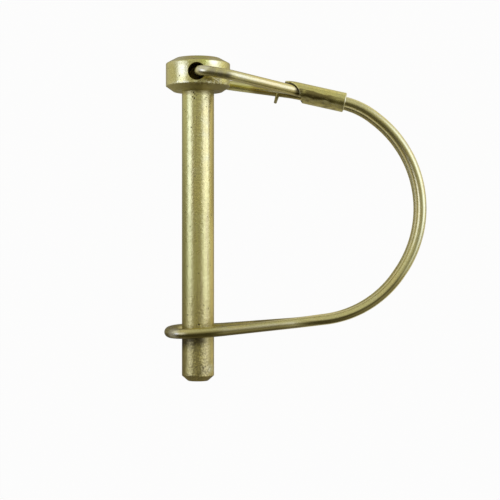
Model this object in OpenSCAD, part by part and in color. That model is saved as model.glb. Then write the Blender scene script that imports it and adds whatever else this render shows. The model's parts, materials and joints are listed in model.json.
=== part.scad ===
// Wire lock pin: a headed, cross-drilled pin with a spring-wire bail that turns
// in the head and snaps its eye over the tip. Millimetres. The origin is the
// middle of the head's underside. The pin lies along Y with its head towards +Y,
// the bail reaches out along +X, and the part lies on its back with +Z up.

/* [Shaft] */
// Diameter of the shaft
shaft_d = 6.35; // [5:0.05:9]
// Length of the shaft under the head
shaft_length = 57.15; // [50:0.05:70]
// Height of the bevel at the tip
tip_bevel_h = 1.05; // [0.4:0.05:2]
// Width of the bevel at the tip
tip_bevel_w = 1.2; // [0.4:0.05:1.8]

/* [Head] */
// Diameter of the head
head_d = 12.7; // [11:0.1:15]
// Height of the head
head_h = 6.6; // [5.6:0.1:9]
// Height of the bevel round the top
top_bevel_h = 1.1; // [0.5:0.05:1.4]
// Width of the bevel round the top
top_bevel_w = 2.05; // [0.8:0.05:2.6]
// Height of the bevel round the underside
under_bevel_h = 1.05; // [0.5:0.05:1.3]
// Width of the bevel round the underside
under_bevel_w = 1.5; // [0.6:0.05:1.8]

/* [Wire] */
// Diameter of the spring wire
wire_d = 2; // [1.6:0.05:2.3]
// Play of the wire in the cross hole, on the radius
hole_play = 0.7; // [0.5:0.05:0.9]
// Clearance left on the side of the hole that the bail pulls towards
hole_clearance = 0.25; // [0.15:0.05:0.35]
// Swell of the wire on the radius where it is bent
bend_swell = 0.02; // [0.015:0.005:0.04]
// How far a straight stretch runs into the bend next to it
bend_lap = 0.12; // [0.08:0.01:0.16]

/* [Legs] */
// Clearance between each leg and the side of the head
leg_clearance = 1.25; // [0.8:0.05:2.5]
// Bend of the wire beside the head
knuckle_r = 2.4; // [1.8:0.1:2.8]
// Distance that the legs run side by side before they close up
leg_parallel = 6; // [5.6:0.1:7.5]
// Bend of each leg where it turns inwards and where it meets the other
leg_bend_r = 5; // [4:0.1:6]
// Distance from the hinge to where the legs meet
leg_run = 19; // [17:0.5:22]
// Slope of the legs towards the tip
leg_slope = 9.7; // [7:0.1:12]
// Gap between the two strands once they lie together
strand_gap = 0.1; // [0.08:0.02:0.2]
// How far the back strand lies inside the front one
strand_inset = 0.4; // [0.2:0.05:0.45]
// The same at the heel, where the strands lie closer to one line
heel_inset = 0.25; // [0.1:0.05:0.4]

/* [Loop] */
// Slope of the wire inside the sleeve
sleeve_slope = 12.5; // [10:0.5:15]
// Bend at the shoulder
shoulder_r = 15.7; // [12:0.1:18]
// Angle that the wire turns through at the shoulder
shoulder_turn = 25.8; // [22:0.1:30]
// Distance from where the strands part to where the heel's bend begins
heel_run = 5.2; // [4:0.05:7]
// Slope of that stretch
heel_slope = 6.7; // [4:0.1:9]
// Bend at the heel
heel_r = 20.7; // [15:0.1:23]
// Angle that the wire turns through at the heel
heel_turn = 48.9; // [45:0.1:53]

/* [Eye] */
// Distance from the middle of the eye to the end of the tip
eye_above_tip = 9.85; // [7:0.05:14]
// Gap between the eye and the shaft
eye_gap = 1.48; // [1.2:0.02:2]
// Distance from the pin's axis to where the strands part
part_reach = 20; // [17:0.1:22]
// Rise of the place where the strands part above the eye
part_rise = 1.65; // [1.2:0.05:2.1]
// Bend where the strands part and where the eye's sides begin
part_r = 12; // [8:0.1:14]
// Distance from the pin's axis to where the eye's sides run straight
eye_side = 3.6; // [3.2:0.1:5]
// Offset of the front side of the eye towards the tip, and of the back one away
eye_skew = 0.2; // [0:0.05:0.3]
// How much further the front side is offset at the eye's nose
nose_drop = 0.35; // [0:0.05:0.5]
// How much less it is offset where it leaves the eye
side_lift = 0.35; // [0:0.05:0.45]

/* [Sleeve] */
// Length of the sleeve along its longer side
sleeve_length = 12.4; // [11:0.1:14]
// How far the sleeve's tongue reaches past the place where the legs meet
sleeve_tongue = 2.3; // [1.8:0.1:2.6]
// How far inside the sleeve's square end the shoulder's bend begins
sleeve_lap = 0.4; // [0:0.1:0.8]
// Offset of the sleeve towards the back strand
sleeve_offset = 0.07; // [0:0.01:0.12]
// Room between the wire and the sleeve's side
sleeve_room = 0.5; // [0.45:0.05:0.6]
// How far the sleeve's rounds are drawn in from the strands' middles
sleeve_pinch = 0.3; // [0.2:0.02:0.34]
// Thickness of the sleeve's wall
sleeve_wall = 0.35; // [0.3:0.05:0.6]
// Radius of the round cut at the sleeve's mouth
mouth_r = 2.9; // [2.6:0.1:3.1]
// Distance of that cut's middle from the tip of the tongue
mouth_back = 0.5; // [0:0.1:0.8]
// How far above the round cut's middle the slanted cut meets it
mouth_flare = 0.8; // [0.2:0.1:1]
// How far the slanted cut leans back over a height equal to the round cut's radius
mouth_slant = 2.3; // [0.8:0.1:2.6]
// Gap between the wire's two ends inside the sleeve
butt_gap = 0.4; // [0.2:0.1:0.8]

/* [Drip] */
// Length of the small drip of plating under the back leg
drip_length = 1.2; // [0.6:0.1:2]
// Width of the drip where it leaves the wire
drip_d = 0.9; // [0.6:0.05:1]
// Distance of the drip from where the legs meet
drip_back = 3.65; // [2.8:0.05:4.2]

/* [Hidden] */
$fn = 64;
plated = "#b3a95f";
shaft_r = shaft_d / 2;
head_r = head_d / 2;
wire_r = wire_d / 2;
hole_r = wire_r + hole_play;
hole_y = head_h / 2;
hinge_x = hole_play - hole_clearance;
leg_z = head_r + leg_clearance + wire_r;
strand_z = wire_r + strand_gap / 2;
eye_y = eye_above_tip - shaft_length;
eye_r = shaft_r + eye_gap + wire_r;
short_straight = 0.2;
bore_r = wire_r + sleeve_room;
round_z = strand_z - sleeve_pinch;

// A point on a leg, by its distance from the hinge and its height
function leg_point(along, z) =
    [hinge_x + along * cos(leg_slope), hole_y - along * sin(leg_slope), z];

// A point beside the sleeve's line, by its distance from where the legs meet
function sleeve_point(along, aside, z) = [
    hinge_x + leg_run * cos(leg_slope) + along * cos(sleeve_slope) + aside * sin(sleeve_slope),
    hole_y - leg_run * sin(leg_slope) - along * sin(sleeve_slope) + aside * cos(sleeve_slope),
    z
];

function unit(v) = v / norm(v);
function turn(a, b, c) = acos(unit(b - a) * unit(c - b));
function setback(a, b, c, r) = r * tan(turn(a, b, c) / 2);

// A direction by its angle from X
function heading(angle) = [cos(angle), sin(angle), 0];

// The place where two lines meet, each given by a point and a heading
function meeting(a, u, b, v) = a + u * cross(b - a, v)[2] / cross(u, v)[2];

// A corner of the loop moved towards the inside of it by the inset
function side(a, b) = [unit(b - a)[1], -unit(b - a)[0], 0];
function inner(a, b, c, inset) =
    b + inset * (side(a, b) + side(b, c)) / (1 + side(a, b) * side(b, c));

// Corners of the front strand, then of the back strand
mouth_f = sleeve_point(0, 0, strand_z);
part_f = [part_reach, eye_y + part_rise, strand_z];
shoulder_run = sleeve_length - sleeve_tongue - sleeve_lap;
shoulder_set = shoulder_r * tan(shoulder_turn / 2);
heel_set = heel_r * tan(heel_turn / 2);
shoulder_f = mouth_f + heading(-sleeve_slope) * (shoulder_run + shoulder_set);
heel_f = part_f + heading(heel_slope) * (heel_run + heel_set);
knee_f = meeting(
    shoulder_f,
    heading(-sleeve_slope - shoulder_turn),
    heel_f,
    heading(heel_slope + heel_turn)
);
mouth_b = sleeve_point(0, -strand_inset, -strand_z);
down = [0, 0, -2 * strand_z];
shoulder_b = inner(mouth_f, shoulder_f, knee_f, strand_inset) + down;
knee_b = inner(shoulder_f, knee_f, heel_f, strand_inset) + down;
heel_b = inner(knee_f, heel_f, part_f, heel_inset) + down;
part_b = [part_reach, eye_y + part_rise, -strand_z];

// The knee's bend takes what its two neighbours leave of the lines beside it
knee_turn = turn(shoulder_f, knee_f, heel_f);
knee_room = min(norm(knee_f - shoulder_f) - shoulder_set, norm(heel_f - knee_f) - heel_set);
knee_bend = (knee_room - 3 * short_straight) / tan(knee_turn / 2);

// The wire's corners from one of its ends in the sleeve round to the other
butt = (sleeve_length - sleeve_tongue) / 2;
bail_path = [
    sleeve_point(butt + butt_gap / 2, 0, strand_z),
    shoulder_f,
    knee_f,
    heel_f,
    part_f,
    [eye_side, eye_y - eye_skew + side_lift, eye_r],
    [-eye_r, eye_y - eye_skew - nose_drop, eye_r],
    [-eye_r, eye_y + eye_skew, -eye_r],
    [eye_side, eye_y + eye_skew, -eye_r],
    part_b,
    heel_b,
    knee_b,
    shoulder_b,
    mouth_b,
    leg_point(leg_parallel, -leg_z),
    leg_point(0, -leg_z),
    leg_point(0, leg_z),
    leg_point(leg_parallel, leg_z),
    mouth_f,
    sleeve_point(butt - butt_gap / 2, 0, strand_z)
];
eye_bend = eye_r - short_straight / 2;
bail_bends = [
    0,
    shoulder_r,
    knee_bend,
    heel_r,
    part_r,
    part_r,
    eye_bend,
    eye_bend,
    part_r,
    part_r,
    heel_r - heel_inset,
    knee_bend - strand_inset,
    shoulder_r - strand_inset,
    leg_bend_r,
    leg_bend_r,
    knuckle_r,
    knuckle_r,
    leg_bend_r,
    leg_bend_r,
    0
];

// Lays Z along a direction
module along(direction) {
    z = unit(direction);
    x = unit(cross(abs(z[2]) > 0.9 ? [1, 0, 0] : [0, 0, 1], z));
    y = cross(z, x);
    multmatrix([
        [x[0], y[0], z[0], 0],
        [x[1], y[1], z[1], 0],
        [x[2], y[2], z[2], 0]
    ]) children();
}

// One bend of the wire at corner b, between the lines from a and to c
module bend(a, b, c, r) {
    ahead = unit(b - a);
    inward = unit(unit(c - b) - ahead * (unit(c - b) * ahead));
    axis = cross(-inward, ahead);
    centre = b - ahead * setback(a, b, c, r) + inward * r;
    multmatrix([
        [-inward[0], ahead[0], axis[0], centre[0]],
        [-inward[1], ahead[1], axis[1], centre[1]],
        [-inward[2], ahead[2], axis[2], centre[2]]
    ])
        rotate_extrude(angle = turn(a, b, c), $fn = 128)
            translate([r, 0])
                circle(r = wire_r + bend_swell, $fn = 48);
}

// A wire bent to the given radii at the corners of a path
module bent_wire(path, bends) {
    last = len(path) - 1;
    for (i = [0:last - 1]) {
        ahead = unit(path[i + 1] - path[i]);
        start = i == 0 ? 0 : setback(path[i - 1], path[i], path[i + 1], bends[i]) - bend_lap;
        end = i == last - 1 ? 0 : setback(path[i], path[i + 1], path[i + 2], bends[i + 1]) - bend_lap;
        translate(path[i] + ahead * start)
            along(ahead)
                cylinder(r = wire_r, h = norm(path[i + 1] - path[i]) - start - end, $fn = 48);
    }
    for (i = [1:last - 1])
        bend(path[i - 1], path[i], path[i + 1], bends[i]);
}

// The drip of plating that hangs from the front of the back leg near the sleeve
module drip() {
    leg = unit(leg_point(leg_parallel, -leg_z) - mouth_b);
    hanging = [-0.3, -1, 0.1];
    tip_r = drip_d / 3;
    translate(mouth_b + leg * drip_back + [0, 0, wire_r / 2])
        along(hanging) {
            cylinder(r1 = drip_d / 2, r2 = tip_r, h = wire_r + drip_length, $fn = 32);
            translate([0, 0, wire_r + drip_length]) sphere(r = tip_r, $fn = 32);
        }
}

// Outline of the sleeve across its length: two rounds and the flat between them
module oval(r) {
    for (s = [-1, 1])
        translate([0, s * round_z]) circle(r = r);
    translate([-r, -round_z]) square([2 * r, 2 * round_z]);
}

module lock_pin() {
    color(plated) difference() {
        rotate([90, 0, 0])
            rotate_extrude($fn = 128)
                polygon([
                    [0, -head_h],
                    [head_r - top_bevel_w, -head_h],
                    [head_r, top_bevel_h - head_h],
                    [head_r, -under_bevel_h],
                    [head_r - under_bevel_w, 0],
                    [shaft_r, 0],
                    [shaft_r, shaft_length - tip_bevel_h],
                    [shaft_r - tip_bevel_w, shaft_length],
                    [0, shaft_length]
                ]);
        translate([0, hole_y, 0])
            cylinder(r = hole_r, h = 2 * head_d, center = true);
    }
}

module wire_bail() {
    color(plated) {
        bent_wire(bail_path, bail_bends);
        drip();
    }
}

module sleeve() {
    mouth_y = bore_r - mouth_r;
    flare_x = mouth_back + sqrt(mouth_r * mouth_r - mouth_flare * mouth_flare);
    flare_y = mouth_y + mouth_flare;
    depth = 4 * bore_r;
    color(plated)
        translate(sleeve_point(-sleeve_tongue, -sleeve_offset, 0))
            rotate([0, 0, -sleeve_slope])
                difference() {
                    rotate([90, 0, 90])
                        linear_extrude(sleeve_length)
                            difference() {
                                oval(bore_r + sleeve_wall);
                                oval(bore_r);
                            }
                    translate([mouth_back, mouth_y, 0])
                        cylinder(r = mouth_r, h = 2 * depth, center = true);
                    translate([0, 0, -depth])
                        linear_extrude(2 * depth)
                            polygon([
                                [-mouth_r, flare_y],
                                [flare_x, flare_y],
                                [flare_x + mouth_slant, flare_y - mouth_r],
                                [-mouth_r, flare_y - mouth_r]
                            ]);
                }
}

lock_pin();
wire_bail();
sleeve();
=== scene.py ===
import json
import math

import bpy
import numpy as np
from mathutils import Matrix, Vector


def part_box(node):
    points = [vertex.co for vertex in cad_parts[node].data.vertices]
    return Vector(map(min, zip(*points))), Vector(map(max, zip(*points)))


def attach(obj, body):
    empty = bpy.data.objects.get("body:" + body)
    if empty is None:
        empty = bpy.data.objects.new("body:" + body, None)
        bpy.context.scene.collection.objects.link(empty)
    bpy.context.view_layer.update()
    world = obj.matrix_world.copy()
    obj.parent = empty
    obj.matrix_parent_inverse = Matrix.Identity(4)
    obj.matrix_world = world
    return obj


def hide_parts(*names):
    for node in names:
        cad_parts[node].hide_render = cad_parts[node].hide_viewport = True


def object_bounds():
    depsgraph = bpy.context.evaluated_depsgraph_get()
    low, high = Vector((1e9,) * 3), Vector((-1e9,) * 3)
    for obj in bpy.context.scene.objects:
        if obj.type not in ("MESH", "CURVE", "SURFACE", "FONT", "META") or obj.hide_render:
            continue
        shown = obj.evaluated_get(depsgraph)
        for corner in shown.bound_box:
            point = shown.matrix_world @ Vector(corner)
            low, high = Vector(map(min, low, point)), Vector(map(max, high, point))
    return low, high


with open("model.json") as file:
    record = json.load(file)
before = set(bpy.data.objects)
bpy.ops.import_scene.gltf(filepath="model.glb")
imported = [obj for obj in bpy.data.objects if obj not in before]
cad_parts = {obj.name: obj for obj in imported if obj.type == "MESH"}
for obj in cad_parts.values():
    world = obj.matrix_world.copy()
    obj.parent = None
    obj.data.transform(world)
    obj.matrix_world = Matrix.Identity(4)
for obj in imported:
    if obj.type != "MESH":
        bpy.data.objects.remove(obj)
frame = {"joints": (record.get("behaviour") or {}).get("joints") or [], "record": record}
cad_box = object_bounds()

# Lock pin
# The pin is turned from one steel bar: a shaft with a bevelled tip and a round head
# that is drilled crosswise for the wire. It is plated in yellow zinc, which leaves a
# finely pitted, olive-gold skin.
MM = 0.001
pin_low, pin_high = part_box("lock_pin")
shaft_mount = next(m for m in frame["record"]["mounts"] if m["name"] == "shaft")
shaft_r = shaft_mount["dims"]["r_mm"] * MM
shaft_wall = shaft_mount["dims"]["length_mm"] * MM
head_r = pin_high.x
head_top = pin_high.y
tip_y = pin_low.y
tip_bevel_w = 1.2 * MM
top_bevel_h = 1.1 * MM
top_bevel_w = 2.05 * MM
under_bevel_h = 1.05 * MM
under_bevel_w = 1.5 * MM
edge_rounds = np.array([0.5, 0.3, 0.15, 0.25, 0.12, 0.3, 0.3]) * MM
hole_r = 1.7 * MM
hole_y = head_top / 2
sharp_angle = math.radians(40)
pin_columns = 192
hole_columns = 96
ring_step = 0.5 * MM


def rounded_path(corners, radii, step, arc_steps=8):
    """Points along straight lines with an arc at each inner corner. An arc begins and
    ends r * tan(turn / 2) from its corner, and lines and arcs are cut into equal steps."""
    corners = np.asarray(corners, float)
    points = [corners[:1]]
    for before, corner, after, r in zip(corners, corners[1:], corners[2:], radii):
        ahead = (corner - before) / np.linalg.norm(corner - before)
        onward = (after - corner) / np.linalg.norm(after - corner)
        turn = math.acos(ahead @ onward)
        inward = (onward - ahead * (onward @ ahead)) / math.sin(turn)
        start = corner - ahead * r * math.tan(turn / 2)
        angle = np.linspace(0, turn, max(arc_steps, math.ceil(r * turn / step)) + 1)[:, None]
        points.append(straight(points[-1][-1], start, step))
        points.append((start + r * (ahead * np.sin(angle) + inward * (1 - np.cos(angle))))[1:])
    points.append(straight(points[-1][-1], corners[-1], step))
    return np.vstack(points)


def straight(start, end, step):
    """Points in equal steps from start to end, without the start."""
    count = max(1, math.ceil(np.linalg.norm(end - start) / step))
    return start + (end - start) * np.linspace(0, 1, count + 1)[1:, None]


def grid_quads(rows, columns, rows_close=False):
    """Corner numbers of a grid's faces. The last column joins the first, and so does
    the last row where the rows close too."""
    row, column = np.meshgrid(np.arange(rows - (not rows_close)), np.arange(columns), indexing="ij")
    below = (row + 1) % rows
    beside = (column + 1) % columns
    corners = [(row, column), (row, beside), (below, beside), (below, column)]
    return np.stack([r * columns + c for r, c in corners], -1).reshape(-1, 4)


def fan(middle, ring):
    """Corner numbers of the triangles that join a middle point to a ring of points."""
    return np.stack([np.full(len(ring), middle), ring, np.roll(ring, -1)], -1)


def add_piece(name, points, *faces):
    """A smooth mesh object at the origin from arrays of points and faces."""
    mesh = bpy.data.meshes.new(name)
    mesh.from_pydata(points.tolist(), [], [face for group in faces for face in group.tolist()])
    mesh.shade_smooth()
    piece = bpy.data.objects.new(name, mesh)
    bpy.context.scene.collection.objects.link(piece)
    return piece


def lathe(name, outline, columns, axes=np.eye(3), origin=(0, 0, 0)):
    """A turned solid: each point (r, y) of the outline becomes the ring
    (r cos a, y, r sin a), and the first and last points are poles on the axis. The rows
    of axes and the origin say where its X, Y and Z lie."""
    a = np.linspace(0, 2 * math.pi, columns, endpoint=False)
    r = outline[1:-1, :1]
    y = outline[1:-1, 1:]
    rings = np.stack([r * np.cos(a), y + 0 * a, r * np.sin(a)], -1).reshape(-1, 3)
    poles = np.array([(0, outline[0, 1], 0), (0, outline[-1, 1], 0)])
    rows = len(r)
    ring = np.arange(columns)
    top = fan(len(rings), ring[::-1])
    bottom = fan(len(rings) + 1, ring + (rows - 1) * columns)
    points = np.vstack([rings, poles]) @ axes + origin
    return add_piece(name, points, grid_quads(rows, columns), top, bottom)


outline = [
    (0, head_top),
    (head_r - top_bevel_w, head_top),
    (head_r, head_top - top_bevel_h),
    (head_r, under_bevel_h),
    (head_r - under_bevel_w, 0),
    (shaft_r, 0),
    (shaft_r, -shaft_wall),
    (shaft_r - tip_bevel_w, tip_y),
    (0, tip_y),
]
lock_pin = lathe("lock_pin_turned", rounded_path(outline, edge_rounds, ring_step), pin_columns)

# The cross hole is bored along Z, through the middle of the head's height
drill_outline = np.array([(0, 1), (hole_r, 1), (hole_r, -1), (0, -1)]) * (1, 2 * head_r)
along_z = [(1, 0, 0), (0, 0, 1), (0, -1, 0)]
drill = lathe("drill", drill_outline, hole_columns, along_z, (0, hole_y, 0))
boring = lock_pin.modifiers.new("cross_hole", "BOOLEAN")
boring.operation = "DIFFERENCE"
boring.object = drill
bored = lock_pin.evaluated_get(bpy.context.evaluated_depsgraph_get())
lock_pin.data = bpy.data.meshes.new_from_object(bored)
lock_pin.modifiers.clear()
bpy.data.objects.remove(drill)
lock_pin.data.shade_smooth()
lock_pin.data.set_sharp_from_angle(angle=sharp_angle)


def add_node(tree, kind, sockets, **settings):
    """A node with its settings, and with each named socket linked or set to a value."""
    made = tree.nodes.new(kind)
    for name, value in settings.items():
        setattr(made, name, value)
    for name, value in sockets.items():
        if isinstance(value, bpy.types.NodeSocket):
            tree.links.new(value, made.inputs[name])
        else:
            made.inputs[name].default_value = value
    return made


def noise(tree, vector, scale, detail=2.0, roughness=0.5):
    """A cloudy value from about 0.25 to 0.75."""
    sockets = {"Vector": vector, "Scale": scale, "Detail": detail, "Roughness": roughness}
    return add_node(tree, "ShaderNodeTexNoise", sockets).outputs["Fac"]


def rise(tree, value, start, end, low=0.0, high=1.0):
    """A soft step from low to high as the value goes from start to end."""
    sockets = {"Value": value, "From Min": start, "From Max": end, "To Min": low, "To Max": high}
    step = add_node(tree, "ShaderNodeMapRange", sockets, interpolation_type="SMOOTHSTEP")
    return step.outputs["Result"]


def maths(tree, operation, *values):
    """One arithmetic step on two or three values."""
    sockets = dict(enumerate(values))
    return add_node(tree, "ShaderNodeMath", sockets, operation=operation).outputs[0]


def both(tree, *masks):
    """The product of several masks or shares."""
    product = masks[0]
    for mask in masks[1:]:
        product = maths(tree, "MULTIPLY", product, mask)
    return product


def either(tree, *masks):
    """The greatest of several masks."""
    greatest = masks[0]
    for mask in masks[1:]:
        greatest = maths(tree, "MAXIMUM", greatest, mask)
    return greatest


def between(tree, value, start, full, fade, end, high=1.0):
    """A soft band: it rises to high as the value goes from start to full, and falls to 0 as
    the value goes from fade to end."""
    return maths(tree, "MINIMUM", rise(tree, value, start, full, 0.0, high), rise(tree, value, end, fade))


def stretch(tree, vector, scale):
    """A place with each axis scaled, so that a pattern is drawn out along a small one."""
    return add_node(tree, "ShaderNodeMapping", {"Vector": vector, "Scale": scale}).outputs["Vector"]


def distance(tree, vector, centre):
    """How far a place is from a centre."""
    sockets = {0: vector, 1: centre}
    return add_node(tree, "ShaderNodeVectorMath", sockets, operation="DISTANCE").outputs["Value"]


def mix_colour(tree, share, first, second):
    """The first colour where the share is 0 and the second where it is 1."""
    sockets = {0: share, 6: first, 7: second}
    return add_node(tree, "ShaderNodeMix", sockets, data_type="RGBA").outputs[2]


def new_group(name, inputs, outputs):
    """An empty shader node group with named sockets, and its two end nodes."""
    tree = bpy.data.node_groups.new(name, "ShaderNodeTree")
    for socket, kind in inputs.items():
        tree.interface.new_socket(socket, in_out="INPUT", socket_type=kind)
    for socket, kind in outputs.items():
        tree.interface.new_socket(socket, in_out="OUTPUT", socket_type=kind)
    return tree, tree.nodes.new("NodeGroupInput"), tree.nodes.new("NodeGroupOutput")


VECTOR, VALUE, COLOUR = "NodeSocketVector", "NodeSocketFloat", "NodeSocketColor"

# Zinc colour: olive that drifts to ochre in broad clouds, with greyer patches, mottled
# lighter and darker at the size of the zinc's crystals
zinc_colour, given, result = new_group(
    "zinc_colour",
    {"Vector": VECTOR, "Olive": COLOUR, "Ochre": COLOUR, "Grey": COLOUR, "Mottle": VALUE},
    {"Colour": COLOUR},
)
clouds = rise(zinc_colour, noise(zinc_colour, given.outputs["Vector"], 160.0), 0.4, 0.68)
patches = rise(zinc_colour, noise(zinc_colour, given.outputs["Vector"], 420.0, 3.0), 0.5, 0.72, 0, 0.6)
warmed = mix_colour(zinc_colour, clouds, given.outputs["Olive"], given.outputs["Ochre"])
patched = mix_colour(zinc_colour, patches, warmed, given.outputs["Grey"])
crystals = noise(zinc_colour, given.outputs["Vector"], 3400.0, 2.0, 0.6)
mottle = rise(zinc_colour, crystals, 0.3, 0.7, -0.3, 0.24)
mottle = maths(zinc_colour, "MULTIPLY_ADD", mottle, given.outputs["Mottle"], 1.0)
mottled = add_node(zinc_colour, "ShaderNodeVectorMath", {0: patched, "Scale": mottle}, operation="SCALE")
zinc_colour.links.new(mottled.outputs["Vector"], result.inputs["Colour"])

# Plating grain: the fine bumps of the zinc's crystals, and the odd dark pit
plating_grain, given, result = new_group(
    "plating_grain",
    {"Vector": VECTOR, "Scale": VALUE, "Pits": VALUE},
    {"Height": VALUE, "Pit": VALUE},
)
crystals = noise(plating_grain, given.outputs["Vector"], given.outputs["Scale"], 3.0, 0.6)
pit_scale = maths(plating_grain, "MULTIPLY", given.outputs["Scale"], 0.6)
pit_clouds = noise(plating_grain, given.outputs["Vector"], pit_scale, 2.0, 0.7)
pits = rise(plating_grain, pit_clouds, 0.69, 0.76)
pits = maths(plating_grain, "MULTIPLY", pits, given.outputs["Pits"])
plating_grain.links.new(maths(plating_grain, "SUBTRACT", crystals, pits), result.inputs["Height"])
plating_grain.links.new(pits, result.inputs["Pit"])

# Spot: a round mark at a place on the piece, full inside its core and soft outside it
spot, given, result = new_group(
    "spot",
    {"Vector": VECTOR, "Centre": VECTOR, "Radius": VALUE, "Core": VALUE},
    {"Mask": VALUE},
)
away = distance(spot, given.outputs["Vector"], given.outputs["Centre"])
near = maths(spot, "DIVIDE", away, given.outputs["Radius"])
spot.links.new(rise(spot, near, given.outputs["Core"], 1.0, 1.0, 0.0), result.inputs["Mask"])


def use_group(tree, group, sockets):
    """A node group placed in a material with its own values."""
    return add_node(tree, "ShaderNodeGroup", sockets, node_tree=group).outputs


def zinc_tint(tree, place, olive, ochre, grey, mottle):
    """The zinc's colour on one piece, from its three tints and the strength of its mottle."""
    sockets = {"Vector": place, "Olive": olive, "Ochre": ochre, "Grey": grey, "Mottle": mottle}
    return use_group(tree, zinc_colour, sockets)["Colour"]


def add_bumps(tree, shader, height, depth):
    """Bumps on a shader, as deep as given where the height is 1."""
    sockets = {"Height": height, "Strength": 1.0, "Distance": depth}
    bumps = add_node(tree, "ShaderNodeBump", sockets)
    tree.links.new(bumps.outputs["Normal"], shader.inputs["Normal"])


def plated_material(name):
    """An empty metal material: its tree and its shader."""
    material = bpy.data.materials.new(name)
    material.use_nodes = True
    shader = material.node_tree.nodes["Principled BSDF"]
    shader.inputs["Metallic"].default_value = 1.0
    return material, material.node_tree, shader


def spots(tree, place, marks, core):
    """The masks of several spots in one, each mark a centre and a radius in mm."""
    masks = []
    for x, y, z, r in marks:
        sockets = {"Vector": place, "Centre": (x * MM, y * MM, z * MM), "Radius": r * MM, "Core": core}
        masks.append(use_group(tree, spot, sockets)["Mask"])
    return either(tree, *masks)


pin_olive = (0.77, 0.725, 0.31, 1)
pin_ochre = (0.80, 0.71, 0.27, 1)
pin_grey = (0.74, 0.71, 0.37, 1)
# This colour, and the moss and gold tints below, are painted shade towards the tip
pin_tip_shade = (0.72, 0.665, 0.24, 1)
pin_amber = (0.86, 0.71, 0.25, 1)
pin_green = (0.74, 0.73, 0.31, 1)
pin_moss = (0.62, 0.60, 0.22, 1)
pin_gold = (0.76, 0.63, 0.22, 1)
pin_umber = (0.56, 0.47, 0.20, 1)
# Painted highlight colour, for bright patches and flecks on the pin
pin_highlight_colour = (0.89, 0.86, 0.51, 1)
# Stain colour, also used for painted shade and a painted dark reflection
pin_stain_and_shade = (0.50, 0.44, 0.18, 1)
pin_lemon = (0.74, 0.74, 0.22, 1)
speck_brown = (0.25, 0.21, 0.09, 1)
# Dark brown for painted shade, on the pin, the wire and inside the sleeve
shade_brown = (0.12, 0.10, 0.045, 1)
pit_brown = (0.10, 0.08, 0.035, 1)
# Painted shade inside the cross hole
bore_shade_brown = (0.22, 0.165, 0.035, 1)
pin_pits = [
    (-0.75, -0.5, 3.09, 0.17),
    (-0.5, -0.8, 3.13, 0.15),
    (-0.9, -1.35, 3.04, 0.16),
    (-0.55, -1.65, 3.12, 0.2),
    (-0.2, -1.1, 3.17, 0.12),
    (1.7, -1.4, 2.7, 0.15),
    (1.5, -1.75, 2.8, 0.13),
    (0.3, -45.9, 3.15, 0.25),
    (-1.2, -7.3, 2.95, 0.15),
    (-0.2, -5.3, 3.17, 0.12),
]
# Dark spots: a painted dark reflection near the tip, a painted shadow under the eye, and two darker places
# on the head
pin_dark_spots = [
    (1.0, -55.0, 3.0, 1.5),
    (1.3, -54.4, 2.9, 1.0),
    (0.4, -48.6, 3.1, 1.0),
    (2.4, 1.9, 5.9, 1.6),
    (3.9, 2.2, 5.0, 1.5),
]
tip_blots = [
    (0.7, -53.9, 3.1, 0.9),
    (1.2, -54.7, 2.95, 1.0),
    (1.8, -55.5, 2.6, 1.0),
    (0.3, -55.6, 3.1, 0.9),
]
head_specks = [(2.4, 1.7, 5.9, 1.8), (4.0, 1.9, 4.9, 1.8), (0.6, 1.2, 6.2, 1.3)]
lemon_patches = [(1.4, 5.3, 6.0, 1.4), (0.6, 6.2, 4.6, 1.5)]
# Painted highlights on the head and near the tip
painted_pin_highlights = [
    (-2.8, 3.6, 5.7, 2.0),
    (3.2, 5.4, 5.3, 1.5),
    (-3.7, 6.0, 4.2, 2.2),
    (2.6, -54.6, 1.8, 1.3),
]
pin_grain_scale = 2200.0
pin_grain_depth = 0.05 * MM
pin_roughness = (0.19, 0.29)
bore_roughness = 0.6
eye_slant = 0.12
pin_material, tree, shader = plated_material("pin_plating")
place = add_node(tree, "ShaderNodeTexCoord", {}).outputs["Object"]
aside, along, _ = add_node(tree, "ShaderNodeSeparateXYZ", {"Vector": place}).outputs
mottle = rise(tree, along, -0.015, -0.045, 0.45, 1.1)
tint = zinc_tint(tree, place, pin_olive, pin_ochre, pin_grey, mottle)
grain = use_group(tree, plating_grain, {"Vector": place, "Scale": pin_grain_scale, "Pits": 1.0})
# Painted shade: towards the tip the colour is darker and yellower and golden at it, and darker
# still along the left there, standing in for the light that falls off along the pin. The shaft is
# streaked umber along its length, amber along the right and green along the left, and bright
# patches on the head and near the tip are painted highlights. The limits of each soft step are in
# metres along the pin or aside of its axis.
tip_shaded = mix_colour(tree, rise(tree, along, -0.012, -0.034, 0.0, 0.85), tint, pin_tip_shade)
on_shaft = rise(tree, along, 0.0, -0.002)
lengthwise = stretch(tree, place, (1, 0.025, 1))
streaks = rise(tree, noise(tree, lengthwise, 1300.0, 4.0, 0.65), 0.45, 0.62, 0.0, 0.75)
streaked = mix_colour(tree, both(tree, streaks, on_shaft), tip_shaded, pin_umber)
amber_share = both(tree, rise(tree, aside, 0.0021, 0.003, 0.0, 0.75), on_shaft)
amber = mix_colour(tree, amber_share, streaked, pin_amber)
green_share = both(tree, rise(tree, aside, -0.0006, -0.0016, 0.0, 0.85), on_shaft)
green = mix_colour(tree, green_share, amber, pin_green)
moss_share = both(
    tree,
    green_share,
    rise(tree, along, -0.014, -0.036),
    rise(tree, aside, -0.003, -0.0024, 0.15, 1.0),
)
mossy = mix_colour(tree, moss_share, green, pin_moss)
golden = mix_colour(tree, rise(tree, along, -0.036, -0.049, 0.0, 0.5), mossy, pin_gold)
pin_highlighted = mix_colour(tree, spots(tree, place, painted_pin_highlights, 0.1), golden, pin_highlight_colour)
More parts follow.
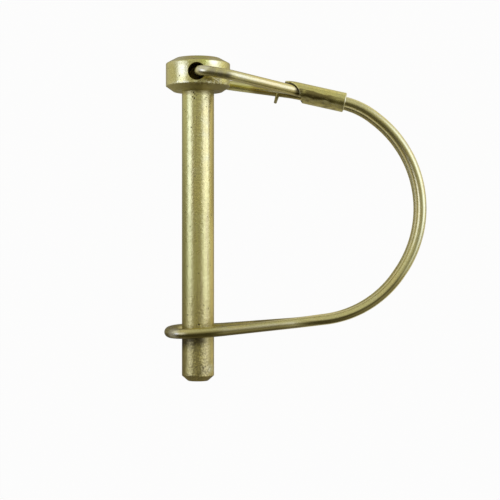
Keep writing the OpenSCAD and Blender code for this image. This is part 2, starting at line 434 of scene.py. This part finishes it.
# The tip is stained in clouds. A band above the eye and the foot of the head are painted darker as
# shade, and the placed dark spots are a painted dark reflection near the tip, a painted shadow under
# the eye and two darker places on the head. Tip and head are specked
stain_clouds = rise(tree, noise(tree, place, 700.0, 4.0, 0.6), 0.3, 0.75)
tip_stain = both(tree, stain_clouds, rise(tree, along, -0.034, -0.055, 0.0, 0.8))
above_eye = between(tree, along, -0.0452, -0.0466, -0.048, -0.0484, 0.7)
under_head = between(tree, along, 0.0013, 0.0009, -0.0002, -0.0012)
under_head_shade = both(tree, under_head, rise(tree, aside, -0.0045, 0.002, 0.3, 0.95))
placed_dark_spots = both(tree, spots(tree, place, pin_dark_spots, 0.1), 0.9)
stain_and_shade = either(tree, tip_stain, above_eye, placed_dark_spots, under_head_shade)
stained_and_shaded = mix_colour(tree, stain_and_shade, pin_highlighted, pin_stain_and_shade)
specks = rise(tree, noise(tree, place, 3400.0, 3.0, 0.7), 0.42, 0.6)
speck_middle = between(tree, aside, -0.0026, -0.0006, 0.0014, 0.003)
tip_specks = both(tree, rise(tree, along, -0.034, -0.052, 0.0, 0.6), speck_middle)
speck_area = either(tree, tip_specks, spots(tree, place, tip_blots + head_specks, 0.2))
specked = mix_colour(tree, both(tree, specks, speck_area), stained_and_shaded, speck_brown)
# Painted shadow: a dark ring below the eye, slanted as the eye is, where the eye shades the shaft,
# and painted shade under the head's right side
eye_line = maths(tree, "MULTIPLY_ADD", aside, -eye_slant, along)
below_eye = between(tree, eye_line, -0.0512, -0.0491, -0.0484, -0.0478)
ring_clouds = rise(tree, noise(tree, place, 2600.0, 3.0, 0.65), 0.3, 0.55, 0.6, 1.0)
ring = both(tree, below_eye, ring_clouds, rise(tree, aside, 0.0022, 0.0006, 0.35, 1.0))
under_right_shade = both(tree, under_head, rise(tree, aside, 0.001, 0.0035, 0.0, 0.4))
shaded = mix_colour(tree, either(tree, ring, under_right_shade), specked, shade_brown)
# Painted highlight: the corner at the foot of the head's wall is made bright in flecks
foot = between(tree, along, 0.0008, 0.0011, 0.0013, 0.0018)
flecks = rise(tree, noise(tree, place, 1900.0, 3.0, 0.7), 0.48, 0.6)
flecked = mix_colour(tree, both(tree, foot, flecks), shaded, pin_highlight_colour)
lemon = mix_colour(tree, spots(tree, place, lemon_patches, 0.2), flecked, pin_lemon)
pits = either(tree, grain["Pit"], spots(tree, place, pin_pits, 0.4))
pitted = mix_colour(tree, pits, lemon, pit_brown)
# The cross hole's bore is painted dark brown as shade, and is dull
across_hole = stretch(tree, place, (1, 1, 0))
hole_sockets = {"Vector": across_hole, "Centre": (0, hole_y, 0), "Radius": hole_r * 1.04, "Core": 0.975}
bore = use_group(tree, spot, hole_sockets)["Mask"]
tree.links.new(mix_colour(tree, bore, pitted, bore_shade_brown), shader.inputs["Base Color"])
roughness = rise(tree, noise(tree, place, 900.0, 3.0), 0.35, 0.7, *pin_roughness)
roughness = maths(tree, "ADD", roughness, rise(tree, along, -0.016, -0.036, 0.0, 0.09))
roughness = maths(tree, "MULTIPLY_ADD", under_head, 0.2, roughness)
roughness = either(tree, roughness, both(tree, bore, bore_roughness))
tree.links.new(roughness, shader.inputs["Roughness"])
# The grain is coarser towards the tip, and the head keeps fine rings from the lathe tool
tip_grain = both(tree, grain["Height"], rise(tree, along, -0.028, -0.05, 1.0, 1.8))
ringed = stretch(tree, place, (0.03, 1, 0.03))
on_head = rise(tree, along, -0.0005, 0.0002, 0.0, 0.35)
tool_lines = both(tree, noise(tree, ringed, 5000.0), on_head)
height = maths(tree, "ADD", maths(tree, "SUBTRACT", tip_grain, pits), tool_lines)
add_bumps(tree, shader, height, pin_grain_depth)

lock_pin.data.materials.clear()
lock_pin.data.materials.append(pin_material)
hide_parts("lock_pin")
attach(lock_pin, "pin")

# Wire bail
# One length of drawn spring wire: through the head's cross hole, down both sides of the
# head as two legs, doubled through the D-shaped loop, and round the shaft in a U-shaped
# eye. Its ends meet inside the sleeve, and it turns freely in the hole.
wire_r = 1.0 * MM
hinge_x = frame["joints"][0]["pos_m"][0]
leg_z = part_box("wire_bail")[1].z - 1.02 * MM
leg_slope = math.radians(9.7)
leg_run = 19 * MM
leg_parallel = 6 * MM
knuckle_r = 2.4 * MM
leg_bend_r = 5 * MM
strand_z = 1.05 * MM
strand_inset = 0.4 * MM
heel_inset = 0.25 * MM
sleeve_slope = math.radians(12.5)
sleeve_length = 12.4 * MM
sleeve_tongue = 2.3 * MM
shoulder_run = 9.7 * MM
shoulder_r = 15.7 * MM
shoulder_turn = math.radians(25.8)
heel_run = 5.2 * MM
heel_slope = math.radians(6.7)
heel_r = 20.7 * MM
heel_turn = math.radians(48.9)
eye_y = tip_y + 9.85 * MM
eye_r = 5.655 * MM
eye_side = 3.6 * MM
eye_skew = 0.2 * MM
nose_drop = 0.35 * MM
side_lift = 0.35 * MM
part_reach = 20 * MM
part_rise = 1.65 * MM
part_r = 12 * MM
butt_gap = 0.4 * MM
short_straight = 0.2 * MM
wire_columns = 40
wire_step = 0.3 * MM


def heading(angle):
    """The direction in the XY plane at an angle from X."""
    return np.array([math.cos(angle), math.sin(angle), 0])


def leg_point(along, z):
    """A point on a leg, by its distance from the hinge and its height."""
    return np.array([hinge_x, hole_y, z]) + along * heading(-leg_slope)


def sleeve_point(along, aside, z):
    """A point beside the sleeve's line, by its distance from where the legs meet."""
    meeting_place = leg_point(leg_run, z)
    return meeting_place + along * heading(-sleeve_slope) + aside * heading(math.pi / 2 - sleeve_slope)


def inner_corner(before, corner, after, inset):
    """A corner of the loop moved inwards so that both its lines shift by the inset."""
    ahead = (corner - before) / np.linalg.norm(corner - before)
    onward = (after - corner) / np.linalg.norm(after - corner)
    sides = np.array([ahead[1] + onward[1], -ahead[0] - onward[0], 0])
    return corner + inset * sides / (1 + ahead @ onward)


mouth_f = sleeve_point(0, 0, strand_z)
shoulder_set = shoulder_r * math.tan(shoulder_turn / 2)
shoulder_f = sleeve_point(shoulder_run + shoulder_set, 0, strand_z)
part_f = np.array([part_reach, eye_y + part_rise, strand_z])
heel_set = heel_r * math.tan(heel_turn / 2)
heel_f = part_f + heading(heel_slope) * (heel_run + heel_set)
down_right = heading(-sleeve_slope - shoulder_turn)
up_right = heading(heel_slope + heel_turn)
knee_reach = np.cross(heel_f - shoulder_f, up_right)[2] / np.cross(down_right, up_right)[2]
heel_inward = (up_right - heading(heel_slope)) / np.linalg.norm(up_right - heading(heel_slope))
heel_middle = heel_f + heel_inward * heel_r / math.cos(heel_turn / 2)
knee_f = shoulder_f + down_right * knee_reach
knee_turn = math.acos(-down_right @ up_right)
knee_room = min(knee_reach - shoulder_set, np.linalg.norm(heel_f - knee_f) - heel_set)
knee_r = (knee_room - 3 * short_straight) / math.tan(knee_turn / 2)
knee_inward = (-down_right - up_right) / np.linalg.norm(down_right + up_right)
knee_middle = knee_f + knee_inward * knee_r / math.cos(knee_turn / 2)
to_back = np.array([0, 0, -2 * strand_z])
butt = (sleeve_length - sleeve_tongue) / 2
eye_bend = eye_r - short_straight / 2
wire_corners = [
    sleeve_point(butt + butt_gap / 2, 0, strand_z),
    shoulder_f,
    knee_f,
    heel_f,
    part_f,
    (eye_side, eye_y - eye_skew + side_lift, eye_r),
    (-eye_r, eye_y - eye_skew - nose_drop, eye_r),
    (-eye_r, eye_y + eye_skew, -eye_r),
    (eye_side, eye_y + eye_skew, -eye_r),
    part_f + to_back,
    inner_corner(knee_f, heel_f, part_f, heel_inset) + to_back,
    inner_corner(shoulder_f, knee_f, heel_f, strand_inset) + to_back,
    inner_corner(mouth_f, shoulder_f, knee_f, strand_inset) + to_back,
    sleeve_point(0, -strand_inset, -strand_z),
    leg_point(leg_parallel, -leg_z),
    leg_point(0, -leg_z),
    leg_point(0, leg_z),
    leg_point(leg_parallel, leg_z),
    mouth_f,
    sleeve_point(butt - butt_gap / 2, 0, strand_z),
]
front_bends = [shoulder_r, knee_r, heel_r, part_r, part_r, eye_bend]
loop_bends = [heel_r - heel_inset, knee_r - strand_inset, shoulder_r - strand_inset]
back_bends = [eye_bend, part_r, part_r, *loop_bends]
leg_bends = [leg_bend_r, leg_bend_r, knuckle_r, knuckle_r, leg_bend_r, leg_bend_r]


def mark_points(piece, name, values):
    """An attribute with a vector for each point, or a number where the values are flat."""
    kind, field = ("FLOAT", "value") if values.ndim == 1 else ("FLOAT_VECTOR", "vector")
    layer = piece.data.attributes.new(name, kind, "POINT")
    layer.data.foreach_set(field, values.ravel())


def tube(name, path, r, columns):
    """A round wire along a path: a ring of points r from each point of the path, in the
    plane square to it, closed by a flat end at each side. The attribute drawn holds each
    point's place on the wire pulled straight along Z."""
    ahead = np.gradient(path, axis=0)
    ahead = ahead / np.linalg.norm(ahead, axis=1, keepdims=True)
    aside = np.cross([1, 1, 1], ahead)
    aside = aside / np.linalg.norm(aside, axis=1, keepdims=True)
    above = np.cross(ahead, aside)
    a = np.linspace(0, 2 * math.pi, columns, endpoint=False)[None, :, None]
    rings = path[:, None] + r * (np.cos(a) * aside[:, None] + np.sin(a) * above[:, None])
    along = np.concatenate([[0], np.cumsum(np.linalg.norm(np.diff(path, axis=0), axis=1))])
    drawn = np.broadcast_arrays(r * np.cos(a[..., 0]), r * np.sin(a[..., 0]), along[:, None])
    ends = np.array([(0, 0, 0), (0, 0, along[-1])])
    rows = len(path)
    ring = np.arange(columns)
    points = np.vstack([rings.reshape(-1, 3), path[[0, -1]]])
    start = fan(rows * columns, ring[::-1])
    end = fan(rows * columns + 1, ring + (rows - 1) * columns)
    piece = add_piece(name, points, grid_quads(rows, columns), start, end)
    mark_points(piece, "drawn", np.vstack([np.stack(drawn, -1).reshape(-1, 3), ends]))
    return piece


wire_path = rounded_path(wire_corners, front_bends + back_bends + leg_bends, wire_step)
wire_bail = tube("wire_bail_drawn", wire_path, wire_r, wire_columns)
wire_bail.data.set_sharp_from_angle(angle=sharp_angle)

wire_olive = (0.75, 0.70, 0.34, 1)
wire_ochre = (0.78, 0.68, 0.30, 1)
wire_grey = (0.72, 0.69, 0.42, 1)
# Green film colour, also a painted highlight on the knee
wire_green_and_highlight = (0.88, 0.86, 0.43, 1)
# Painted highlight colour
wire_highlight_colour = (0.95, 0.93, 0.72, 1)
# Painted shade on the wire
wire_shade_brown = (0.33, 0.285, 0.11, 1)
rub_grey = (0.50, 0.46, 0.36, 1)
wire_pits = [(3.25, 3.6, 9.4, 0.2), (5.5, 2.7, 9.2, 0.22), (9.6, 1.9, 7.2, 0.15)]
# Painted highlights on the knuckle and the eye's nose
wire_highlights = [(0.8, 3.9, 8.6, 1.6), (1.9, 3.9, 9.3, 1.3), (-4.8, -47.3, 4.6, 2.0)]
rub_marks = [(3.1, 2.8, 9.5, 1.2), (4.6, 2.3, 9.5, 1.2), (6.0, 2.0, 9.3, 1.0)]
# Painted shade on the wire at the sleeve's mouth
mouth_shade = [
    (*sleeve_point(0.1 * MM, 0.7 * MM, 1.8 * MM) / MM, 0.7),
    (*sleeve_point(0.4 * MM, 0.1 * MM, 2.0 * MM) / MM, 0.8),
    (*sleeve_point(0.6 * MM, -0.6 * MM, 1.8 * MM) / MM, 0.9),
]
wire_grain_scale = 2600.0
wire_grain_depth = 0.006 * MM
wire_roughness = (0.24, 0.33)
wire_mottle = 0.4
run_slope = 0.085
wire_material, tree, shader = plated_material("wire_plating")
place = add_node(tree, "ShaderNodeTexCoord", {}).outputs["Object"]
drawn = add_node(tree, "ShaderNodeAttribute", {}, attribute_name="drawn").outputs["Vector"]
stretched = stretch(tree, drawn, (1, 1, 0.12))
tint = zinc_tint(tree, place, wire_olive, wire_ochre, wire_grey, wire_mottle)
grain = use_group(tree, plating_grain, {"Vector": drawn, "Scale": wire_grain_scale, "Pits": 0.6})
at_x, at_y, at_z = add_node(tree, "ShaderNodeSeparateXYZ", {"Vector": place}).outputs
front_strand = rise(tree, at_z, 0.0003, 0.0008)
back_strand = rise(tree, at_z, 0.0, -0.0005)
# Painted shade: the wire is painted darker about its eye, along the lower side of the run and of
# the front leg, and on the back strand, more where the back leg nears the sleeve and less round the loop
about_eye = both(
    tree,
    rise(tree, at_x, 0.022, 0.012),
    rise(tree, at_y, -0.036, -0.042),
    rise(tree, at_x, -0.004, 0.001, 0.0, 0.3),
)
under_run = both(
    tree,
    rise(tree, maths(tree, "MULTIPLY_ADD", at_x, -run_slope, at_y), -0.0468, -0.0474),
    rise(tree, at_z, 0.0003, 0.001),
    rise(tree, at_x, 0.023, 0.015),
    rise(tree, at_y, -0.04, -0.043),
)
under_leg = both(
    tree,
    rise(tree, maths(tree, "MULTIPLY_ADD", at_x, math.tan(leg_slope), at_y), 0.0032, 0.0028),
    rise(tree, at_z, 0.0004, 0.001),
    rise(tree, at_x, 0.007, 0.011, 0.0, 0.6),
    rise(tree, at_x, 0.022, 0.02),
    rise(tree, at_y, -0.01, -0.006),
)
back_leg_end = both(tree, back_strand, rise(tree, at_x, 0.0095, 0.012), rise(tree, at_x, 0.022, 0.018))
dull_and_shaded = both(tree, rise(tree, at_x, 0.026, 0.03), back_strand)
# Painted shade: a brown band along the heel's outer flank and the run below it
in_plan = stretch(tree, place, (1, 1, 0))
from_heel = distance(tree, in_plan, (heel_middle[0], heel_middle[1], 0))
heel_edges = heel_r + np.array([-0.15, 0.15, 0.65, 0.9]) * MM
heel_band = both(
    tree,
    between(tree, from_heel, *heel_edges),
    front_strand,
    rise(tree, at_x, 0.019, 0.025),
    rise(tree, at_y, -0.034, -0.039),
)
wire_painted_shade = either(tree, about_eye, under_run, back_leg_end, both(tree, dull_and_shaded, 0.45), heel_band, under_leg)
# The film is green on the back leg beside the head, and the outer side of the loop's knee has a
# painted highlight in the same pale green
beside_head = both(
    tree,
    between(tree, at_x, 0.0055, 0.007, 0.0098, 0.0112),
    back_strand,
    rise(tree, at_y, -0.01, -0.006),
)
from_knee = distance(tree, in_plan, (knee_middle[0], knee_middle[1], 0))
knee_edges = knee_r + np.array([0, 0.25, 0.35, 0.6]) * MM
knee_highlight = both(
    tree,
    between(tree, from_knee, *knee_edges),
    rise(tree, at_x, 0.035, 0.04),
    front_strand,
    0.8,
)
greened_and_lit = mix_colour(tree, either(tree, beside_head, knee_highlight), tint, wire_green_and_highlight)
wire_shaded = mix_colour(tree, both(tree, wire_painted_shade, 0.9), greened_and_lit, wire_shade_brown)
# The knuckle and the eye's nose have painted highlights, the front leg is rubbed grey beside the
# head, and the wire is painted darker at the sleeve's mouth as shade
wire_highlighted = mix_colour(tree, spots(tree, place, wire_highlights, 0.3), wire_shaded, wire_highlight_colour)
rubbed = mix_colour(tree, both(tree, spots(tree, place, rub_marks, 0.1), 0.8), wire_highlighted, rub_grey)
shaded = mix_colour(tree, spots(tree, place, mouth_shade, 0.1), rubbed, shade_brown)
pits = either(tree, grain["Pit"], spots(tree, place, wire_pits, 0.4))
tree.links.new(mix_colour(tree, pits, shaded, pit_brown), shader.inputs["Base Color"])
roughness = rise(tree, noise(tree, stretched, 1500.0, 3.0), 0.35, 0.7, *wire_roughness)
roughness = maths(tree, "MULTIPLY_ADD", dull_and_shaded, 0.35, roughness)
tree.links.new(roughness, shader.inputs["Roughness"])
drawing_lines = noise(tree, stretched, 3000.0, 2.0)
add_bumps(tree, shader, maths(tree, "ADD", grain["Height"], drawing_lines), wire_grain_depth)
wire_bail.data.materials.append(wire_material)
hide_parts("wire_bail")
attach(wire_bail, "bail")

# Drip
# A small run of plating that froze as it hung from the back leg, just before the sleeve.
# It is part of the wire's own skin and moves with it.
drip_length = 1.2 * MM
drip_r = 0.45 * MM
drip_tip_r = 0.3 * MM
drip_back = 3.65 * MM
drip_rounds = np.array([0.05, 0.1, 0.15]) * MM
drip_step = 0.1 * MM
drip_columns = 32
drip_hang = np.array([-0.3, -1, 0.1]) / np.linalg.norm([-0.3, -1, 0.1])
mouth_b = sleeve_point(0, -strand_inset, -strand_z)
back_leg = leg_point(leg_parallel, -leg_z) - mouth_b
drip_root = mouth_b + back_leg / np.linalg.norm(back_leg) * drip_back + np.array([0, 0, wire_r / 2])
drip_drop = wire_r + drip_length
drip_end = -drip_drop - drip_tip_r
drip_corners = [(0, 0), (drip_r, 0), (drip_tip_r, -drip_drop), (drip_tip_r * 0.9, drip_end), (0, drip_end)]
drip_outline = rounded_path(drip_corners, drip_rounds, drip_step)
drip_aside = np.cross(drip_hang, (0, 0, 1))
drip_aside = drip_aside / np.linalg.norm(drip_aside)
drip_axes = [drip_aside, -drip_hang, np.cross(drip_aside, -drip_hang)]
plating_drip = lathe("plating_drip", drip_outline, drip_columns, drip_axes, drip_root)
drip_points = np.empty(len(plating_drip.data.vertices) * 3)
plating_drip.data.vertices.foreach_get("co", drip_points)
mark_points(plating_drip, "drawn", drip_points.reshape(-1, 3))
plating_drip.data.materials.append(wire_material)
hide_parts("wire_bail")
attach(plating_drip, "bail")

# Sleeve
# A strip of thin sheet steel rolled into a flat tube and pressed round both strands, so
# that it hides and holds the wire's two ends. One end is cut square and the other has a
# round-cut mouth with a tongue. The press has scuffed it.
bore_r = wire_r + 0.5 * MM
sleeve_wall = 0.35 * MM
round_z = strand_z - 0.3 * MM
sleeve_offset = 0.07 * MM
mouth_r = 2.9 * MM
mouth_back = 0.5 * MM
mouth_flare = 0.8 * MM
mouth_slant = 2.3 * MM
tongue_depth = 0.3 * MM
rim_r = 0.17 * MM
round_points = 48
flat_points = 10
length_points = 50
rim_points = 6
middle_r = bore_r + sleeve_wall / 2
quarter = np.linspace(0, math.pi / 2, rim_points)


def mouth_cut(y):
    """Where the sleeve begins, by the height across it: on the round cut's arc above,
    and on the slanted cut's line below."""
    mouth_y = bore_r - mouth_r
    flare_y = mouth_y + mouth_flare
    flare_x = mouth_back + math.sqrt(mouth_r**2 - mouth_flare**2)
    reach = np.sqrt(np.clip(mouth_r**2 - (y - mouth_y) ** 2, 0, None))
    arc = np.where(y - mouth_y < mouth_r, mouth_back + reach, 0)
    slant = flare_x + (flare_y - y) * mouth_slant / mouth_r
    return np.where(y > flare_y, arc, slant)


# Round the tube: the direction out of it, and the middle of the round that it belongs to
half = np.linspace(0, math.pi, round_points, endpoint=False)
edge = np.linspace(round_z, -round_z, flat_points, endpoint=False)
on_flat = np.full(flat_points, math.pi)
out_angle = np.concatenate([half, on_flat, half + math.pi, 2 * on_flat])
round_at = np.concatenate([np.full(round_points, round_z), edge, np.full(round_points, -round_z), -edge])
# Round the wall's section: out along the outside, over the square end, back along the
# inside and over the mouth's edge, as a share of the length, a shift and a depth
wall_half = sleeve_wall / 2
run = np.linspace(0, 1, length_points)
over = np.concatenate([rim_r * np.sin(quarter) - rim_r, rim_r * np.cos(quarter) - rim_r])
rim_out = wall_half - rim_r + rim_r * np.cos(quarter)
rim_in = rim_r - wall_half - rim_r * np.sin(quarter)
drop = np.concatenate([rim_out, rim_in])
share = np.concatenate([run, np.ones(len(over)), run[::-1], np.zeros(len(over))])
shift = np.concatenate([rim_r - 2 * rim_r * run, over, rim_r - 2 * rim_r * run[::-1], -over[::-1]])
outside = np.full(length_points, wall_half)
depth = np.concatenate([outside, drop, -outside, drop[::-1]])
across = middle_r * np.cos(out_angle)
begin = mouth_cut(across)
local_x = begin + (sleeve_length - begin) * share[:, None] + shift[:, None]
local_y = (middle_r + depth[:, None]) * np.cos(out_angle)
tongue_dip = tongue_depth * np.clip(1 - local_x / sleeve_tongue, 0, 1) ** 2
local_y = local_y - tongue_dip * (np.cos(out_angle) > 0.5)
local_z = round_at + (middle_r + depth[:, None]) * np.sin(out_angle)
sleeve_points = (
    sleeve_point(-sleeve_tongue, -sleeve_offset, 0)
    + local_x[..., None] * heading(-sleeve_slope)
    + local_y[..., None] * heading(math.pi / 2 - sleeve_slope)
    + local_z[..., None] * np.array([0, 0, 1])
)
sleeve_faces = grid_quads(*local_x.shape, rows_close=True)
sleeve = add_piece("sleeve_rolled", sleeve_points.reshape(-1, 3), sleeve_faces)

# The attribute rolled holds each point's place along the sleeve, across it and through
# its wall, and the attribute rim its distance from the nearer end
on_sheet = np.stack([local_x, local_y, depth[:, None] + 0 * local_x], -1)
mark_points(sleeve, "rolled", on_sheet.reshape(-1, 3))
rim_gap = np.minimum(local_x - begin, sleeve_length - local_x)
mark_points(sleeve, "rim", rim_gap.ravel())

sleeve_olive = (0.73, 0.68, 0.26, 1)
sleeve_ochre = (0.74, 0.67, 0.25, 1)
sleeve_grey = (0.70, 0.67, 0.34, 1)
# Dark for a painted reflection along the sleeve, and for its blotches
sleeve_dark_reflection_and_blotch = (0.21, 0.175, 0.065, 1)
sleeve_scuffed = (0.83, 0.76, 0.41, 1)
sleeve_rim_pale = (0.88, 0.84, 0.50, 1)
sleeve_grain_scale = 2200.0
sleeve_grain_depth = 0.014 * MM
sleeve_roughness = (0.24, 0.34)
sleeve_mottle = 0.4
sleeve_material, tree, shader = plated_material("sleeve_plating")
place = add_node(tree, "ShaderNodeTexCoord", {}).outputs["Object"]
rolled = add_node(tree, "ShaderNodeAttribute", {}, attribute_name="rolled").outputs["Vector"]
rim = add_node(tree, "ShaderNodeAttribute", {}, attribute_name="rim").outputs["Fac"]
along, across, through = add_node(tree, "ShaderNodeSeparateXYZ", {"Vector": rolled}).outputs
tint = zinc_tint(tree, place, sleeve_olive, sleeve_ochre, sleeve_grey, sleeve_mottle)
grain = use_group(tree, plating_grain, {"Vector": place, "Scale": sleeve_grain_scale, "Pits": 0.8})
# A ragged dark band along the middle is a painted reflection, and the lower side has scratches and
# brown blotches
lengthwise = stretch(tree, rolled, (0.3, 1, 1))
ragged = maths(tree, "MULTIPLY_ADD", noise(tree, lengthwise, 1400.0, 3.0, 0.6), 0.0012, across)
breaks = rise(tree, noise(tree, lengthwise, 2600.0, 3.0, 0.65), 0.52, 0.66, 1.0, 0.35)
dark_reflection = both(
    tree,
    between(tree, ragged, 0.0012, 0.0009, 0.0, -0.0004),
    rise(tree, along, 0.0105, 0.0085, 0.55, 0.95),
    breaks,
)
reflected_dark = mix_colour(tree, dark_reflection, tint, sleeve_dark_reflection_and_blotch)
lower_side = rise(tree, ragged, -0.00005, -0.0004)
scratches = rise(tree, noise(tree, lengthwise, 4200.0, 3.0, 0.7), 0.42, 0.62, 0.2, 1.0)
scuffs = both(tree, lower_side, scratches)
scuffed = mix_colour(tree, scuffs, reflected_dark, sleeve_scuffed)
blotches = rise(tree, noise(tree, lengthwise, 2100.0, 3.0, 0.65), 0.5, 0.63, 0.0, 0.5)
blotched = mix_colour(tree, both(tree, lower_side, blotches), scuffed, sleeve_dark_reflection_and_blotch)
# The rims are paler, most at the square end, and the inside is painted darker as shade
rim_brightening = both(tree, rise(tree, rim, 0.0003, 0.00012), rise(tree, along, 0.004, 0.009, 0.2, 0.9))
rim_brightened = mix_colour(tree, rim_brightening, blotched, sleeve_rim_pale)
inside = mix_colour(tree, rise(tree, through, 0.00005, -0.0001), rim_brightened, shade_brown)
tree.links.new(mix_colour(tree, grain["Pit"], inside, pit_brown), shader.inputs["Base Color"])
roughness = rise(tree, noise(tree, place, 900.0, 3.0), 0.35, 0.7, *sleeve_roughness)
roughness = maths(tree, "MULTIPLY_ADD", lower_side, 0.32, roughness)
tree.links.new(roughness, shader.inputs["Roughness"])
add_bumps(tree, shader, maths(tree, "MULTIPLY_ADD", scuffs, 0.5, grain["Height"]), sleeve_grain_depth)
sleeve.data.materials.append(sleeve_material)
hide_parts("sleeve")
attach(sleeve, "bail")

# Floor
# A plain pale sheet that the part lies on. The camera sees it close to white, and it
# still takes the part's shadow. The metal mirrors it as cream, with three lit zones.
floor_half = 1.5
floor_gap = 0.05 * MM
floor_cream = (0.38, 0.34, 0.24, 1)
floor_lit = (1, 0.96, 0.84, 1)
pure_white = (1, 1, 1, 1)
white_share = 0.97
matt_roughness = 0.9
floor_z = cad_box[0].z - floor_gap
floor_corners = np.array([(-1, -1, 0), (1, -1, 0), (1, 1, 0), (-1, 1, 0)]) * floor_half + [0, 0, floor_z]
floor = add_piece("floor", floor_corners, np.arange(4)[None])


def matt_material(name, colour):
    """A dull material of one colour: its tree and its shader."""
    material = bpy.data.materials.new(name)
    material.use_nodes = True
    shader = material.node_tree.nodes["Principled BSDF"]
    shader.inputs["Base Color"].default_value = colour
    shader.inputs["Roughness"].default_value = matt_roughness
    return material, material.node_tree, shader


floor_material, tree, matt = matt_material("floor_white", floor_cream)
rays = add_node(tree, "ShaderNodeLightPath", {}).outputs
place = add_node(tree, "ShaderNodeTexCoord", {}).outputs["Object"]
floor_x, floor_y, _ = add_node(tree, "ShaderNodeSeparateXYZ", {"Vector": place}).outputs
glow = add_node(tree, "ShaderNodeEmission", {"Color": floor_lit, "Strength": 1.0}).outputs[0]
white = add_node(tree, "ShaderNodeEmission", {"Color": pure_white, "Strength": 1.0}).outputs[0]
lit_top = both(tree, rise(tree, floor_y, -0.06, 0.01), rise(tree, floor_x, 0.0, 0.05, 0.2, 0.85))
lit_right = both(
    tree,
    rise(tree, floor_y, -0.066, -0.056),
    rise(tree, floor_x, 0.003, 0.02, 0.0, 0.6),
    rise(tree, floor_y, -0.014, -0.03),
)
lit_left = both(tree, rise(tree, floor_y, -0.03, 0.005), rise(tree, floor_x, -0.004, -0.02, 0.0, 0.45))
mirrored = both(tree, rays["Is Glossy Ray"], either(tree, lit_top, lit_right, lit_left))
seen = either(tree, rays["Is Camera Ray"], rays["Is Transmission Ray"])
in_view = both(tree, seen, white_share)
pale = add_node(tree, "ShaderNodeMixShader", {0: mirrored, 1: matt.outputs[0], 2: glow}).outputs[0]
mixed = add_node(tree, "ShaderNodeMixShader", {0: in_view, 1: pale, 2: white}).outputs[0]
tree.links.new(mixed, tree.nodes["Material Output"].inputs["Surface"])
floor.data.materials.append(floor_material)

# Hole backdrop
# A small brown card halfway down the cross hole, so that the gap round the wire shows in
# shade from either side. It belongs to the studio and not to the part.
card_brown = (0.6, 0.44, 0.07, 1)
card_z = 0.0
card_r = 0.99 * hole_r
a = np.linspace(0, 2 * math.pi, hole_columns, endpoint=False)
card_ring = np.stack([card_r * np.cos(a), hole_y + card_r * np.sin(a), card_z + 0 * a], -1)
card_points = np.vstack([card_ring, (0, hole_y, card_z)])
card = add_piece("hole_backdrop", card_points, fan(hole_columns, np.arange(hole_columns)))
card_material, _, matt = matt_material("card_brown", card_brown)
matt.inputs["Specular IOR Level"].default_value = 0.0
card.data.materials.append(card_material)

# Studio light
# A soft surround that is pale towards the head and dim towards the tip, with one large
# soft panel on the right, a narrower one on the left and a dim one at the lower right.
surround_dim = (0.085, 0.075, 0.04, 1)
surround_pale = (0.57, 0.56, 0.47, 1)
world = bpy.data.worlds.new("studio")
world.use_nodes = True
bpy.context.scene.world = world
tree = world.node_tree
towards = add_node(tree, "ShaderNodeTexCoord", {}).outputs["Generated"]
towards_y = add_node(tree, "ShaderNodeSeparateXYZ", {"Vector": towards}).outputs["Y"]
surround = rise(tree, towards_y, -0.42, 0.40)
light = mix_colour(tree, surround, surround_dim, surround_pale)
# Each panel: the direction of its middle, the angles in degrees at which it fades out and is
# full, and its light
panels = [
    ((0.742, -0.52, 0.423), 40, 10, (0.48, 0.46, 0.38, 1)),
    ((0.859, 0.263, 0.438), 41, 8, (1.4, 1.48, 2.2, 1)),
    ((-0.855, 0.05, 0.516), 25, 3, (1.45, 1.53, 2.3, 1)),
]
for centre, edge_angle, core_angle, colour in panels:
    sockets = {0: towards, 1: centre}
    facing = add_node(tree, "ShaderNodeVectorMath", sockets, operation="DOT_PRODUCT").outputs["Value"]
    lit = rise(tree, facing, math.cos(math.radians(edge_angle)), math.cos(math.radians(core_angle)))
    light = mix_colour(tree, lit, light, colour)
rays = add_node(tree, "ShaderNodeLightPath", {}).outputs
background = mix_colour(tree, rays["Is Camera Ray"], light, pure_white)
tree.links.new(background, tree.nodes["Background"].inputs["Color"])

# Camera
# It looks straight down on the part from the distance that the photograph was taken at.
view_distance = 265 * MM
view_width = 98.95 * MM
view_x = 10.29 * MM
view_y = -31.31 * MM
camera_data = bpy.data.cameras.new("camera")
camera_data.lens = camera_data.sensor_width * view_distance / view_width
camera = bpy.data.objects.new("camera", camera_data)
camera.location = (view_x, view_y, view_distance)
bpy.context.scene.collection.objects.link(camera)
bpy.context.scene.camera = camera
bpy.context.scene.view_settings.view_transform = "Standard"
